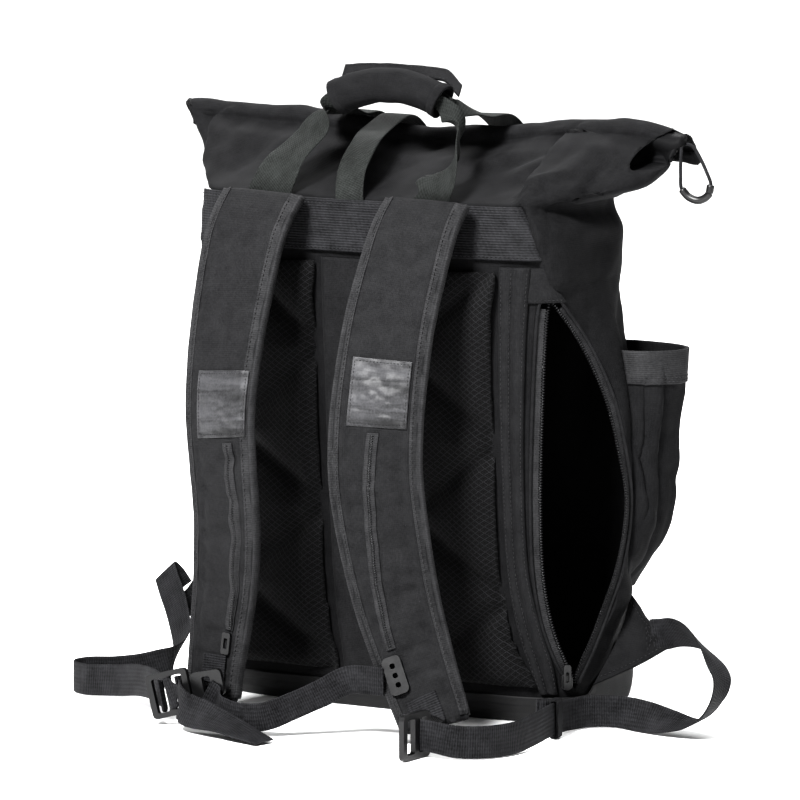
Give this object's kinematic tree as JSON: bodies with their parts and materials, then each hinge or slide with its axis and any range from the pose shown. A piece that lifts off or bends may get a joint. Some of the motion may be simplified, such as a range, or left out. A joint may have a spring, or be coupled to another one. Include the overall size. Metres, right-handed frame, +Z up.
{
  "type": "laptop backpack",
  "caption": "Roll-top laptop backpack standing on its base, side zip compartment open, with padded back panel, shoulder straps, wrapped grab handle and side bottle pocket.",
  "frame": {"origin": "middle of the trunk at the floor, on the flat underside of the base boot", "axes": "+X to the bag's right side with the open side compartment and bottle pocket, -Y out of the harness face, +Z up"},
  "size_m": [0.5426, 0.3272, 0.5077],
  "materials": {
    "pack_cloth": "charcoal polyester canvas, matt",
    "boot_cloth": "grey coated cloth, slight sheen",
    "ripstop": "charcoal ripstop, fine raised grid",
    "air_mesh": "black spacer mesh over foam",
    "reflective": "silver-grey reflective film on cloth, wrinkled",
    "webbing": "dark grey woven polyester webbing and cord",
    "handle_webbing": "greenish grey herringbone webbing",
    "plastic": "dark moulded acetal",
    "zip": "black coil zip on coated tape, slider lacquered"
  },
  "bodies": {
    "root": {"body_shell": "pack_cloth", "base_boot": "boot_cloth", "yoke_band": "ripstop", "spine_panel": "pack_cloth", "zip_tape_back": "zip", "zip_tape_side": "zip", "zip_slider": "zip", "zip_puller": "zip", "side_pocket": "pack_cloth", "pocket_hem": "pack_cloth", "back_pad_left": "air_mesh", "back_border_left": "pack_cloth", "wing_tab_left": "pack_cloth", "shoulder_strap_left": "pack_cloth", "strap_patch_left": "reflective", "strap_zip_left": "zip", "back_pad_right": "air_mesh", "back_border_right": "pack_cloth", "wing_tab_right": "pack_cloth", "shoulder_strap_right": "pack_cloth", "strap_patch_right": "reflective", "strap_zip_right": "zip", "strap_zip_pull": "plastic", "strap_tongue_right": "webbing", "strap_tongue_left": "webbing", "ladder_lock_right": "plastic", "ladder_lock_left": "plastic", "lower_webbing_right": "webbing", "lower_webbing_left": "webbing", "webbing_tail_left": "webbing", "webbing_keeper": "webbing", "sternum_slider": "plastic", "sternum_webbing": "webbing", "sternum_buckle": "plastic", "handle_webbing_back": "handle_webbing", "handle_webbing_front": "handle_webbing", "handle_grip": "pack_cloth", "grip_flap": "pack_cloth", "centre_strap": "handle_webbing", "pull_cord": "webbing", "pull_tube": "plastic"}
  },
  "joints": []
}
